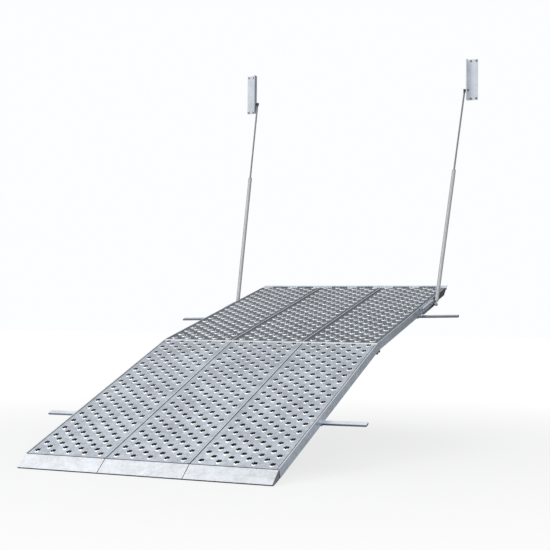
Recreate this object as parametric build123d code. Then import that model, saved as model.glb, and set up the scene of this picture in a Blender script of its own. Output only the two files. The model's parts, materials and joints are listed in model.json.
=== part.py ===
from build123d import *
import math
import os

# Folding loading ramp for the rear portal of a box truck, standing open on the ground.
# Millimetres. +X is to the right seen from behind the vehicle, +Y points into the vehicle,
# +Z is up. The origin is the middle of the sill rail's bolt line, on the rail's back face.
# Inside a ramp section, s is the distance down the slope from the section's upper edge and
# n is the height above its walking surface.

# Overall sizes
PANEL_WIDTH = 650.0
PANEL_COUNT = 3
RAMP_HALF_WIDTH = PANEL_WIDTH * PANEL_COUNT / 2
SECTION_LENGTH = 2200.0
UPPER_SLOPE = 13.5
LOWER_SLOPE = 20.8
TOE_SLOPE = 38.8
TOE_LENGTH = 137.0

# Deck sheets and their grip holes
SHEET_THICKNESS = 4.0
PANEL_GROOVE = 6.0
SHEET_SIDE_GAP = 0.5
SHEET_START = 16.0
SHEET_END_GAP = 1.5
HOLE_RADIUS = 19.0
HOLE_ROWS = 35
FIRST_ROW = 54.0
ROW_PITCH = 61.5
HOLE_PITCH = 130.0

# Rails
RAIL_DEPTH = 62.0
WEB_THICKNESS = 6.0
DIVIDER_WEB = 8.0
LEDGE_WIDTH = 30.0
RAIL_FLANGE_WIDTH = 25.0
RAIL_FLANGE = 4.0
LIP_WIDTH = 9.0
LIP_HEIGHT = 5.0
LIP_ROUNDING = 2.0
WEB_STEP_START = 98.0
WEB_STEP_END = 112.0
FLANGE_END_CUT = 62.0
DIVIDER_TAPER = 14.0
BEAM_WALL = 4.0
RAIL_INSIDE = RAMP_HALF_WIDTH - WEB_THICKNESS

# Welded pieces run into one another by this much, and cutting bodies run out by it
OVERLAP = 1.0

# Sill hinge
HINGE_Y = -26.0
HINGE_Z = 25.0
HINGE_DEPTH = 14.0
KNUCKLE_RADIUS = 11.0
HINGE_UNIT = 105.0
HINGE_LEAF = 16.0
SILL_PIN_RECESS = 0.5
MOVING_KNUCKLE = 52.6
KNUCKLE_GAP = 0.7
PIN_RADIUS = 6.0
RUNNING_CLEARANCE = 0.05
SILL_BEAM_START = 14.0
SILL_BEAM_END = 34.0
SILL_BEAM_DEPTH = 24.0
SILL_PLATE = 10.0
SILL_PLATE_BOTTOM = -40.0
SILL_PLATE_STEP = 14.0
SILL_END_CUT = 45.0
SILL_RISE = 16.0
SILL_FLANGE_DEPTH = 40.0
SILL_FLANGE = 5.0
SILL_HOLE_RADIUS = 6.5
SILL_HOLE_X = (170.0, 510.0, 850.0)

# Fold hinge: short links with a pin at each end, below the two fold beams
FOLD_BREAK_HALF = (LOWER_SLOPE - UPPER_SLOPE) / 2
FOLD_PIVOT_S = 30.0
FOLD_PIVOT_N = -74.0
FOLD_FACE_GAP = 1.0
FOLD_BEAM_WIDTH = 34.0
FOLD_BEAM_BOTTOM = -42.0
EAR_RADIUS = 13.0
EAR_THICKNESS = 6.0
EAR_OFFSET = 8.0
EAR_INSET = 8.0
LINK_RADIUS = 12.0
LINK_THICKNESS = 9.0
FOLD_PIN_HEAD_RADIUS = 10.0
FOLD_PIN_HEAD = 5.0
FOLD_PIN_PLAY = 0.5
HINGE_STATIONS = (-958.0, -650.0, -325.0, 0.0, 325.0, 650.0, 958.0)

# Cross members, cross bars and their straps
MEMBER_WIDTH = 20.0
MEMBER_HEIGHT = 30.0
MEMBER_WALL = 2.5
MEMBER_ROWS = (5, 10, 15, 20, 25, 30)
STRINGER_X = 97.5
STRINGER_WEB = 3.0
STRINGER_BOTTOM = -50.0
STRINGER_FOOT = 22.0
STRINGER_SETBACK = 78.0
BAR_WIDTH = 50.0
BAR_HEIGHT = 15.0
BAR_WALL = 2.5
UPPER_BAR_MIDDLE = 1046.0
UPPER_BAR_HALF = 1330.0
UPPER_BAR_SKEW = 5.0
LOWER_BAR_MIDDLE = 1370.0
LOWER_BAR_HALF = 1298.0
LOWER_BAR_SKEW = 1.1
STRAP_WIDTH = 24.0
STRAP_THICKNESS = 5.0
STRAP_X = (-956.0, -325.0, 325.0, 956.0)

# Struts: telescopic gas springs between the upper section and the portal
STRUT_FOOT_X = 1021.0
STRUT_FOOT_S = 560.0
STRUT_FOOT_N = -46.0
STRUT_TOP = Vector(1120.0, 100.0, 1992.0)
TUBE_RADIUS = 18.0
TUBE_BORE = 15.5
TUBE_START = 34.0
TUBE_END = 1368.0
TUBE_BOTTOM = 12.0
GLAND_LENGTH = 30.0
GLAND_LIP = 3.0
GLAND_LIP_STEP = 1.0
ROD_RADIUS = 8.5
PISTON_LENGTH = 24.0
PISTON_GAP = 20.0
EYE_RADIUS = 15.0
EYE_WIDTH = 16.0
NECK_RADIUS = 8.0
SOCKET_RADIUS = 14.0
SOCKET_WIDTH = 20.0
SOCKET_NECK_RADIUS = 10.0
SOCKET_NECK = 30.0
SOCKET_RECESS = 4.0
SOCKET_RECESS_RADIUS = 7.0
CHANNEL_START = 545.0
CHANNEL_END = 915.0
CHANNEL_TOP = -4.0
CHANNEL_DEPTH = 26.0
CHANNEL_WALL = 4.0
SLOT_TOP = -36.0
SLOT_BOTTOM = -56.0
BOSS_ABOVE = 14.0
BOSS_BELOW = 16.0
SHANK_INSET = 4.0
STUD_PLAY = 1.0
STUD_COLLAR = 7.0
STUD_COLLAR_RADIUS = 9.0
STUD_CAP = 5.0
STUD_CAP_RADIUS = 8.0
CHEEK_START = 6.0
CHEEK_END = 470.0
CHEEK_TOP = -3.0
CHEEK_BOTTOM = -60.0
CHEEK_CORNER_S = 96.0
CHEEK_CORNER_N = -12.0
CHEEK_THICKNESS = 3.0

# Portal brackets
PORTAL_Y = 128.0
BRACKET_INNER_X = 1142.0
BRACKET_WIDTH = 105.0
BRACKET_BOTTOM = 1894.0
BRACKET_HEIGHT = 406.0
BRACKET_PLATE = 8.0
BRACKET_FLANGE = 6.0
BRACKET_FLANGE_REACH = 65.0
BRACKET_BOLT_X = 54.0
BRACKET_BOLT_Z = 374.0
BRACKET_BOLT_SHIFT = 11.0
BOLT_RADIUS = 5.0
BOLT_SLACK = 1.25
BOLT_REACH = 32.0
HEAD_ACROSS_FLATS = 17.0
HEAD_HEIGHT = 7.0
WASHER_RADIUS = 11.0
WASHER_THICKNESS = 2.0
STUD_TIP_GAP = 4.0
STUD_NOSE = 2.0
PORTAL_COLLAR_RADIUS = 14.0
STUD_TAIL = 16.0
NUT_ACROSS_FLATS = 19.0
NUT_HEIGHT = 10.0

# Cover strip over the fold and toe extrusion
STRIP_WIDTH = 34.0
STRIP_THICKNESS = 3.0
STRIP_SIDE_GAP = 0.5
TOE_WALL = 5.0
TOE_GAP = 1.0
TOE_SIDE_GAP = 2.5
TOE_NOSE = 9.0
TOE_LAND = 22.0
TOE_HEEL = 32.0

SIN_UPPER = math.sin(math.radians(UPPER_SLOPE))
COS_UPPER = math.cos(math.radians(UPPER_SLOPE))
LIFT_ANGLE = 90.0 + UPPER_SLOPE
BEVEL = math.tan(math.radians(FOLD_BREAK_HALF))

HINGE_AXIS_POINT = Vector(0, HINGE_Y, HINGE_Z)


def slope_plane(origin, slope):
    """The plane of a walking surface: local x is X, local y runs up the slope, z is normal."""
    angle = math.radians(slope)
    return Plane(origin=origin, x_dir=(1, 0, 0), z_dir=(0, -math.sin(angle), math.cos(angle)))


UPPER_ORIGIN = Vector(0, HINGE_Y - HINGE_DEPTH * SIN_UPPER, HINGE_Z + HINGE_DEPTH * COS_UPPER)
UPPER = slope_plane(UPPER_ORIGIN, UPPER_SLOPE)
LOWER_ORIGIN = UPPER.from_local_coords(Vector(0, -SECTION_LENGTH, 0))
LOWER = slope_plane(LOWER_ORIGIN, LOWER_SLOPE)


def section_point(plane, x, s, n):
    """A point of a ramp section in the part's frame."""
    return plane.from_local_coords(Vector(x, -s, n))


def slab(x_range, s_range, n_range):
    """A box in section coordinates."""
    (x0, x1), (s0, s1), (n0, n1) = x_range, s_range, n_range
    centre = Pos((x0 + x1) / 2, -(s0 + s1) / 2, (n0 + n1) / 2)
    return centre * Box(x1 - x0, s1 - s0, n1 - n0)


def side_outline(points, x):
    """A closed (s, n) outline standing at one x."""
    return Plane.YZ.offset(x) * Polygon(*[(-s, n) for s, n in points], align=None)


def side_plate(points, x0, x1):
    """A plate with an (s, n) outline, from x0 to x1."""
    return extrude(side_outline(points, x0), x1 - x0, dir=(1, 0, 0))


def hollow_bar(points, wall, x0, x1):
    """A closed hollow extrusion along x with an (s, n) outline."""
    outline = Polygon(*[(-s, n) for s, n in points], align=None)
    ring = outline - offset(outline, -wall)
    return extrude(Plane.YZ.offset(x0) * ring, x1 - x0, dir=(1, 0, 0))


def round_bar(start, direction, length, radius):
    """A cylinder from a start point along a direction."""
    return Solid.make_cylinder(radius, length, Plane(origin=start, z_dir=direction))


def cross_pin(x0, x1, s, n, radius):
    """A cylinder along x in section coordinates."""
    return round_bar(Vector(x0, -s, n), Vector(1, 0, 0), x1 - x0, radius)


def mirrored(shape):
    """The left-hand twin of a right-hand piece."""
    return mirror(shape, about=Plane.YZ)


def place(shape, plane):
    """Move a piece made in section coordinates to its ramp section."""
    return shape.moved(plane.location)


# Deck

def hole_centres():
    """Places of the grip holes on one panel: rows of five and four in turn."""
    places = []
    for row in range(HOLE_ROWS):
        count = 5 if row % 2 == 0 else 4
        for column in range(count):
            x = (column - (count - 1) / 2) * HOLE_PITCH
            places.append((x, -(FIRST_ROW + row * ROW_PITCH)))
    return places


def deck_sheet(panel):
    """One perforated sheet; panel is -1, 0 or 1 from left to right."""
    middle = panel * PANEL_WIDTH
    left = middle - PANEL_WIDTH / 2 + PANEL_GROOVE / 2
    right = middle + PANEL_WIDTH / 2 - PANEL_GROOVE / 2
    if panel == -1:
        left = -RAIL_INSIDE + SHEET_SIDE_GAP
    if panel == 1:
        right = RAIL_INSIDE - SHEET_SIDE_GAP
    length = SECTION_LENGTH - SHEET_START - SHEET_END_GAP
    centre_s = SHEET_START + length / 2
    outline = Pos((left + right) / 2, -centre_s) * Rectangle(right - left, length)
    holes = [Pos(middle + x, y) * Circle(HOLE_RADIUS) for x, y in hole_centres()]
    face = outline - Sketch(children=holes)
    return extrude(Pos(0, 0, -SHEET_THICKNESS) * face, SHEET_THICKNESS, dir=(0, 0, 1))


# Rails. An end that meets the fold is bevelled by half of the angle between the sections.

def upper_web_outline(depth):
    """Side outline of an upper rail's web: shallow at the sill, full depth after it."""
    end = SECTION_LENGTH - FOLD_FACE_GAP
    return [(SILL_BEAM_END, LIP_HEIGHT), (SILL_BEAM_END, -SILL_BEAM_DEPTH),
            (WEB_STEP_START, -SILL_BEAM_DEPTH), (WEB_STEP_END, -depth),
            (end - depth * BEVEL, -depth), (end, 0), (end, LIP_HEIGHT)]


def lower_web_outline(depth):
    """Side outline of a lower rail's web, from the fold to the toe."""
    end = SECTION_LENGTH - FOLD_FACE_GAP
    start = FOLD_FACE_GAP
    return [(start, LIP_HEIGHT), (start, 0), (start + depth * BEVEL, -depth), (end, -depth),
            (end, LIP_HEIGHT)]


def side_rail(web_outline, ledge_range, flange_range):
    """Right-hand edge rail: web, raised lip, ledge under the sheet and bottom flange."""
    web = side_plate(web_outline, RAIL_INSIDE, RAMP_HALF_WIDTH)
    start = web_outline[0][0]
    end = web_outline[-1][0]
    lip = slab((RAMP_HALF_WIDTH - LIP_WIDTH, RAMP_HALF_WIDTH), (start, end), (0, LIP_HEIGHT))
    ledge_top = -SHEET_THICKNESS
    ledge = slab((RAIL_INSIDE - LEDGE_WIDTH, RAIL_INSIDE), ledge_range,
                 (ledge_top - RAIL_FLANGE, ledge_top))
    flange = slab((RAIL_INSIDE - RAIL_FLANGE_WIDTH, RAIL_INSIDE), flange_range,
                  (-RAIL_DEPTH, -RAIL_DEPTH + RAIL_FLANGE))
    rail = web + lip + ledge + flange
    top_edges = rail.edges().filter_by(Axis.Y).group_by(Axis.Z)[-1]
    return fillet(top_edges, LIP_ROUNDING)


def divider_rail(x, web_outline, ledge_range, flange_range):
    """Rail under the groove between two panels: web with a top and a bottom flange."""
    web = side_plate(web_outline, x - DIVIDER_WEB / 2, x + DIVIDER_WEB / 2)
    ledge_top = -SHEET_THICKNESS
    ledge = slab((x - LEDGE_WIDTH, x + LEDGE_WIDTH), ledge_range,
                 (ledge_top - RAIL_FLANGE, ledge_top))
    flange = slab((x - LEDGE_WIDTH / 2, x + LEDGE_WIDTH / 2), flange_range,
                  (-RAIL_DEPTH, -RAIL_DEPTH + RAIL_FLANGE))
    return web + ledge + flange


LEDGE_BOTTOM = -SHEET_THICKNESS - RAIL_FLANGE
FOLD_END = SECTION_LENGTH - FOLD_BEAM_WIDTH
UPPER_LEDGE = (SILL_BEAM_END, FOLD_END)
UPPER_FLANGE = (WEB_STEP_END, SECTION_LENGTH - FLANGE_END_CUT)
LOWER_LEDGE = (FOLD_BEAM_WIDTH, SECTION_LENGTH - FOLD_FACE_GAP)
LOWER_FLANGE = (FLANGE_END_CUT, SECTION_LENGTH - FOLD_FACE_GAP)


def upper_divider_outline():
    """Side outline of an upper divider web, clear of the fold links at its lower end."""
    return [(SILL_BEAM_END, LEDGE_BOTTOM), (SILL_BEAM_END, -SILL_BEAM_DEPTH),
            (WEB_STEP_START, -SILL_BEAM_DEPTH), (WEB_STEP_END, -RAIL_DEPTH),
            (UPPER_FLANGE[1], -RAIL_DEPTH), (FOLD_END - DIVIDER_TAPER, FOLD_BEAM_BOTTOM),
            (FOLD_END, FOLD_BEAM_BOTTOM), (FOLD_END, LEDGE_BOTTOM)]


def lower_divider_outline():
    """Side outline of a lower divider web, clear of the fold links at its upper end."""
    return [(FOLD_BEAM_WIDTH, LEDGE_BOTTOM), (FOLD_BEAM_WIDTH, FOLD_BEAM_BOTTOM),
            (FOLD_BEAM_WIDTH + DIVIDER_TAPER, FOLD_BEAM_BOTTOM), (LOWER_FLANGE[0], -RAIL_DEPTH),
            (LOWER_FLANGE[1], -RAIL_DEPTH), (LOWER_FLANGE[1], LEDGE_BOTTOM)]


# Cross members and cross bars

def member_edges(row):
    """Upper and lower s of the cross member above one row of holes."""
    middle = FIRST_ROW + (row - 0.5) * ROW_PITCH
    return middle - MEMBER_WIDTH / 2, middle + MEMBER_WIDTH / 2


def cross_members():
    """Rectangular tubes under the sheets, between the rows of holes, one per panel and row."""
    tubes = []
    spans = [(-RAIL_INSIDE, -PANEL_WIDTH / 2 - DIVIDER_WEB / 2),
             (-PANEL_WIDTH / 2 + DIVIDER_WEB / 2, PANEL_WIDTH / 2 - DIVIDER_WEB / 2),
             (PANEL_WIDTH / 2 + DIVIDER_WEB / 2, RAIL_INSIDE)]
    top = LEDGE_BOTTOM
    for row in MEMBER_ROWS:
        near, far = member_edges(row)
        outline = [(near, top), (far, top), (far, top - MEMBER_HEIGHT), (near, top - MEMBER_HEIGHT)]
        tubes += [hollow_bar(outline, MEMBER_WALL, x0, x1) for x0, x1 in spans]
    return tubes


def stringer(x, span):
    """T-section rib along a panel, between two columns of holes, notched over the cross members."""
    start, end = span
    notch = LEDGE_BOTTOM - MEMBER_HEIGHT
    outline = [(start, STRINGER_BOTTOM), (start, -SHEET_THICKNESS)]
    for row in MEMBER_ROWS:
        near, far = member_edges(row)
        outline += [(near, -SHEET_THICKNESS), (near, notch), (far, notch), (far, -SHEET_THICKNESS)]
    outline += [(end, -SHEET_THICKNESS), (end, STRINGER_BOTTOM)]
    web = side_plate(outline, x - STRINGER_WEB / 2, x + STRINGER_WEB / 2)
    foot = slab((x - STRINGER_FOOT / 2, x + STRINGER_FOOT / 2), span,
                (STRINGER_BOTTOM, STRINGER_BOTTOM + STRINGER_WEB))
    return web + foot


def stringers(span):
    """Two ribs under each panel."""
    return [stringer(panel * PANEL_WIDTH + side * STRINGER_X, span)
            for panel in (-1, 0, 1) for side in (-1, 1)]


def askew(shape, middle, skew):
    """Turn a piece made square across a section's s = 0 and set its middle at s = middle."""
    return Pos(0, -middle, 0) * Rot(0, 0, skew) * shape


def cross_bar(middle, half_length, skew):
    """The flat tube across a section, under the rails and longer than the ramp is wide.

    It lies a little askew: its right end is nearer to the vehicle than its left end.
    """
    half = BAR_WIDTH / 2
    top = -RAIL_DEPTH
    bottom = top - BAR_HEIGHT
    outline = [(-half, top), (half, top), (half, bottom), (-half, bottom)]
    return askew(hollow_bar(outline, BAR_WALL, -half_length, half_length), middle, skew)


def bar_straps(middle, skew):
    """U-straps that hold a cross bar against the rails, one under each rail."""
    inner = BAR_WIDTH / 2
    outer = inner + STRAP_THICKNESS
    top = -RAIL_DEPTH
    bottom = top - BAR_HEIGHT
    outline = [(-outer, top), (-inner, top), (-inner, bottom), (inner, bottom), (inner, top),
               (outer, top), (outer, bottom - STRAP_THICKNESS), (-outer, bottom - STRAP_THICKNESS)]
    half = STRAP_WIDTH / 2
    return [askew(side_plate(outline, x - half, x + half), middle, skew) for x in STRAP_X]


# Sill hinge

def hinge_unit_centres():
    """Three hinge units for each panel: one at each edge and one in the middle."""
    edge = (PANEL_WIDTH - HINGE_UNIT) / 2
    return [panel * PANEL_WIDTH + offset_x for panel in (-1, 0, 1) for offset_x in (-edge, 0, edge)]


def sill_rail():
    """Angle bolted to the vehicle's rear sill, with the fixed hinge knuckles."""
    top = UPPER_ORIGIN.Z + SILL_RISE
    half = RAMP_HALF_WIDTH
    plate = Pos(0, -SILL_PLATE / 2, (top + SILL_PLATE_STEP) / 2) * Box(
        2 * half, SILL_PLATE, top - SILL_PLATE_STEP)
    skirt = Pos(0, -SILL_PLATE / 2, (SILL_PLATE_STEP + SILL_PLATE_BOTTOM) / 2) * Box(
        2 * (half - SILL_END_CUT), SILL_PLATE, SILL_PLATE_STEP - SILL_PLATE_BOTTOM)
    flange = Pos(0, SILL_FLANGE_DEPTH / 2, top - SILL_FLANGE / 2) * Box(
        2 * half, SILL_FLANGE_DEPTH, SILL_FLANGE)
    rail = plate + skirt + flange
    knuckle_length = HINGE_UNIT / 2 - MOVING_KNUCKLE / 2 - KNUCKLE_GAP
    arm = abs(HINGE_Y) - SILL_PLATE
    for centre in hinge_unit_centres():
        for side in (-1, 1):
            middle = centre + side * (HINGE_UNIT / 2 - knuckle_length / 2)
            start = Vector(middle - knuckle_length / 2, HINGE_Y, HINGE_Z)
            rail += round_bar(start, Vector(1, 0, 0), knuckle_length, KNUCKLE_RADIUS)
            rail += Pos(middle, HINGE_Y + arm / 2, HINGE_Z) * Box(
                knuckle_length, arm, 2 * KNUCKLE_RADIUS)
    rail -= round_bar(Vector(-half, HINGE_Y, HINGE_Z), Vector(1, 0, 0), 2 * half,
                      PIN_RADIUS + RUNNING_CLEARANCE)
    for x in SILL_HOLE_X:
        for side in (-1, 1):
            start = Vector(side * x, -2 * SILL_PLATE, 0)
            rail -= round_bar(start, Vector(0, 1, 0), 3 * SILL_PLATE, SILL_HOLE_RADIUS)
    return rail


def sill_hinge_pins():
    """One pin in each hinge unit."""
    length = HINGE_UNIT - 2 * SILL_PIN_RECESS
    return [round_bar(Vector(x - length / 2, HINGE_Y, HINGE_Z), Vector(1, 0, 0), length, PIN_RADIUS)
            for x in hinge_unit_centres()]


def sill_beam():
    """Beam along the upper section's sill edge, with the moving hinge knuckles."""
    top = -SHEET_THICKNESS
    outline = [(SILL_BEAM_START, top), (SILL_BEAM_END, top), (SILL_BEAM_END, -SILL_BEAM_DEPTH),
               (SILL_BEAM_START, -SILL_BEAM_DEPTH)]
    beam = hollow_bar(outline, BEAM_WALL, -RAIL_INSIDE, RAIL_INSIDE)
    for centre in hinge_unit_centres():
        x0 = centre - MOVING_KNUCKLE / 2
        x1 = centre + MOVING_KNUCKLE / 2
        knuckle = cross_pin(x0, x1, 0, -HINGE_DEPTH, KNUCKLE_RADIUS)
        leaf = slab((x0, x1), (0, SILL_BEAM_START + OVERLAP),
                    (-HINGE_DEPTH - HINGE_LEAF / 2, -HINGE_DEPTH + HINGE_LEAF / 2))
        beam += knuckle + leaf
    bore = cross_pin(-RAMP_HALF_WIDTH, RAMP_HALF_WIDTH, 0, -HINGE_DEPTH,
                     PIN_RADIUS + RUNNING_CLEARANCE)
    return beam - bore


# Fold hinge

def fold_ear(x, pivot_s, beam_s):
    """One hanging ear: a tapered plate under the fold beam with a round end and a pin bore."""
    near, far = beam_s
    root = FOLD_BEAM_BOTTOM + OVERLAP
    plate = side_plate([(near, root), (far, root), (pivot_s + EAR_RADIUS, FOLD_PIVOT_N),
                        (pivot_s - EAR_RADIUS, FOLD_PIVOT_N)],
                       x - EAR_THICKNESS / 2, x + EAR_THICKNESS / 2)
    lobe = cross_pin(x - EAR_THICKNESS / 2, x + EAR_THICKNESS / 2, pivot_s, FOLD_PIVOT_N, EAR_RADIUS)
    return plate + lobe


def fold_beam(outline, pivot_s, beam_s):
    """Hollow beam along a section's fold edge with a pair of ears at each hinge station."""
    beam = hollow_bar(outline, BEAM_WALL, -RAIL_INSIDE, RAIL_INSIDE)
    for station in HINGE_STATIONS:
        for side in (-1, 1):
            beam += fold_ear(station + side * EAR_OFFSET, pivot_s, beam_s)
    bore = cross_pin(-RAMP_HALF_WIDTH, RAMP_HALF_WIDTH, pivot_s, FOLD_PIVOT_N,
                     PIN_RADIUS + RUNNING_CLEARANCE)
    return beam - bore


def upper_fold_beam():
    """The upper section's fold beam; its end face leans back by the bevel."""
    end = SECTION_LENGTH - SHEET_END_GAP
    top = -SHEET_THICKNESS
    outline = [(FOLD_END, top), (end, top), (end + FOLD_BEAM_BOTTOM * BEVEL, FOLD_BEAM_BOTTOM),
               (FOLD_END, FOLD_BEAM_BOTTOM)]
    ears = (FOLD_END, SECTION_LENGTH - EAR_INSET)
    return fold_beam(outline, SECTION_LENGTH - FOLD_PIVOT_S, ears)


def lower_fold_beam():
    """The lower section's fold beam, the mirror image of the upper one."""
    start = SHEET_END_GAP
    top = -SHEET_THICKNESS
    outline = [(start, top), (FOLD_BEAM_WIDTH, top), (FOLD_BEAM_WIDTH, FOLD_BEAM_BOTTOM),
               (start - FOLD_BEAM_BOTTOM * BEVEL, FOLD_BEAM_BOTTOM)]
    return fold_beam(outline, FOLD_PIVOT_S, (EAR_INSET, FOLD_BEAM_WIDTH))


def fold_pivots(x):
    """The two pin centres of the fold hinge at one x, in the part's frame."""
    upper = section_point(UPPER, x, SECTION_LENGTH - FOLD_PIVOT_S, FOLD_PIVOT_N)
    lower = section_point(LOWER, x, FOLD_PIVOT_S, FOLD_PIVOT_N)
    return upper, lower


def fold_link(station):
    """Flat link with round ends and a bore at each end."""
    x0 = station - LINK_THICKNESS / 2
    upper, lower = fold_pivots(x0)
    span = lower - upper
    across = Vector(1, 0, 0)
    middle = upper + span * 0.5 + across * (LINK_THICKNESS / 2)
    blank = Plane(origin=middle, x_dir=across, z_dir=span.cross(across)) * Box(
        LINK_THICKNESS, span.length, 2 * LINK_RADIUS)
    for pivot in (upper, lower):
        blank += round_bar(pivot, across, LINK_THICKNESS, LINK_RADIUS)
    for pivot in (upper, lower):
        blank -= round_bar(pivot - across * OVERLAP, across, LINK_THICKNESS + 2 * OVERLAP, PIN_RADIUS)
    return blank


def fold_pin(station, pivot_index):
    """Headed pin through two ears and a link, seated in the link's bore."""
    half = EAR_OFFSET + EAR_THICKNESS / 2 + FOLD_PIN_PLAY
    across = Vector(1, 0, 0)
    start = fold_pivots(station - half)[pivot_index]
    pin = round_bar(start, across, 2 * half, PIN_RADIUS)
    for head_start in (start - across * FOLD_PIN_HEAD, start + across * (2 * half)):
        pin += round_bar(head_start, across, FOLD_PIN_HEAD, FOLD_PIN_HEAD_RADIUS)
    return pin


# Toe and cover strip

def toe_outline():
    """Closed side outline of the toe extrusion, with a flat land that lies on the ground."""
    relative = math.radians(TOE_SLOPE - LOWER_SLOPE)
    lower = math.radians(LOWER_SLOPE)
    start = SECTION_LENGTH + TOE_GAP
    tip_s = SECTION_LENGTH + TOE_LENGTH * math.cos(relative)
    tip_n = -TOE_LENGTH * math.sin(relative)
    nose_n = tip_n - TOE_NOSE
    land_s = tip_s - TOE_LAND * math.cos(lower)
    land_n = nose_n - TOE_LAND * math.sin(lower)
    return [(start, 0), (tip_s, tip_n), (tip_s, nose_n), (land_s, land_n),
            (SECTION_LENGTH + TOE_HEEL, -RAIL_DEPTH), (start, -RAIL_DEPTH)]


def toe_plate(panel):
    """Hollow toe extrusion of one panel."""
    middle = panel * PANEL_WIDTH
    half = PANEL_WIDTH / 2 - TOE_SIDE_GAP
    return hollow_bar(toe_outline(), TOE_WALL, middle - half, middle + half)


def fold_cover_strip():
    """Smooth strip over the gap at the fold, fixed to the lower section."""
    half = RAMP_HALF_WIDTH - LIP_WIDTH - STRIP_SIDE_GAP
    return slab((-half, half), (SHEET_END_GAP, STRIP_WIDTH), (0, STRIP_THICKNESS))


# Struts. The foot turns on the upper section's stud; the socket at the top stands beside
# the portal stud, which is the linkage's open pivot.

STRUT_FOOT = section_point(UPPER, STRUT_FOOT_X, STRUT_FOOT_S, STRUT_FOOT_N)


def turned(point, centre, angle):
    """A point turned about an axis along X through a centre, right-hand rule, degrees."""
    return (point - centre).rotate(Axis.X, angle) + centre


def strut_axis():
    """Hinge direction of the strut's foot.

    Seen from the upper section, the strut points along one direction with the ramp open and
    along another with the ramp upright. The axis makes the same angle with both, so that one
    hinge carries the strut from the first to the second, and it is the nearest such to X.
    """
    open_direction = (STRUT_TOP - STRUT_FOOT).normalized()
    top_when_upright = turned(STRUT_TOP, HINGE_AXIS_POINT, LIFT_ANGLE)
    upright_direction = (top_when_upright - STRUT_FOOT).normalized()
    change = upright_direction - open_direction
    across = Vector(1, 0, 0)
    return (across - change * (across.dot(change) / change.dot(change))).normalized()


def strut_lengths():
    """Foot to top with the ramp open, and with the ramp upright."""
    top_when_upright = turned(STRUT_TOP, HINGE_AXIS_POINT, LIFT_ANGLE)
    return (STRUT_TOP - STRUT_FOOT).length, (top_when_upright - STRUT_FOOT).length


STRUT_DIRECTION = (STRUT_TOP - STRUT_FOOT).normalized()
STRUT_AXIS = strut_axis()


def along_strut(distance):
    """A point on the right strut's centre line."""
    return STRUT_FOOT + STRUT_DIRECTION * distance


def strut_bar(start, end, radius):
    """A cylinder on the right strut's centre line."""
    return round_bar(along_strut(start), STRUT_DIRECTION, end - start, radius)


def cylinder_tube():
    """Pressure tube, closed at the foot and open for the gland."""
    bore = strut_bar(TUBE_START + TUBE_BOTTOM, TUBE_END + OVERLAP, TUBE_BORE)
    return strut_bar(TUBE_START, TUBE_END, TUBE_RADIUS) - bore


def cylinder_gland():
    """Guide bush and seal carrier in the tube's mouth."""
    start = TUBE_END - GLAND_LENGTH
    end = TUBE_END + GLAND_LIP
    body = strut_bar(start, TUBE_END, TUBE_BORE)
    lip = strut_bar(TUBE_END, end, TUBE_RADIUS - GLAND_LIP_STEP)
    return body + lip - strut_bar(start - OVERLAP, end + OVERLAP, ROD_RADIUS + RUNNING_CLEARANCE)


def foot_eye():
    """Eye that turns on the foot stud, with the neck to the tube."""
    start = STRUT_FOOT - STRUT_AXIS * (EYE_WIDTH / 2)
    ring = round_bar(start, STRUT_AXIS, EYE_WIDTH, EYE_RADIUS)
    neck = strut_bar(0, TUBE_START, NECK_RADIUS)
    bore = round_bar(start - STRUT_AXIS * OVERLAP, STRUT_AXIS, EYE_WIDTH + 2 * OVERLAP,
                     PIN_RADIUS + RUNNING_CLEARANCE)
    return ring + neck - bore


def piston_rod():
    """Rod from the piston to the socket's neck."""
    exposed_end = (STRUT_TOP - STRUT_FOOT).length - SOCKET_NECK
    return strut_bar(TUBE_END - GLAND_LENGTH - PISTON_GAP, exposed_end, ROD_RADIUS)


def piston():
    """Piston on the rod's inner end."""
    end = TUBE_END - GLAND_LENGTH - PISTON_GAP
    return strut_bar(end - PISTON_LENGTH, end, TUBE_BORE - RUNNING_CLEARANCE)


def rod_socket():
    """Ball socket at the rod's top end, recessed on the side of the portal stud."""
    across = Vector(1, 0, 0)
    length = (STRUT_TOP - STRUT_FOOT).length
    body = round_bar(STRUT_TOP - across * (SOCKET_WIDTH / 2), across, SOCKET_WIDTH, SOCKET_RADIUS)
    neck = strut_bar(length - SOCKET_NECK, length, SOCKET_NECK_RADIUS)
    recess = round_bar(STRUT_TOP + across * (SOCKET_WIDTH / 2 - SOCKET_RECESS), across,
                       SOCKET_RECESS + OVERLAP, SOCKET_RECESS_RADIUS)
    return body + neck - recess


def strut_channel():
    """C-channel on the outer face of the side rail, open outwards, with the stud's boss."""
    x0 = RAMP_HALF_WIDTH
    x1 = RAMP_HALF_WIDTH + CHANNEL_DEPTH
    span = (CHANNEL_START, CHANNEL_END)
    bottom = -RAIL_DEPTH
    outer = slab((x0, x1), span, (bottom, CHANNEL_TOP))
    past = (CHANNEL_START - OVERLAP, CHANNEL_END + OVERLAP)
    inner = slab((x0 + CHANNEL_WALL, x1 - CHANNEL_WALL), past,
                 (bottom + CHANNEL_WALL, CHANNEL_TOP - CHANNEL_WALL))
    slot = slab((x1 - CHANNEL_WALL - OVERLAP, x1 + OVERLAP), past, (SLOT_BOTTOM, SLOT_TOP))
    return outer - inner - slot


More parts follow.
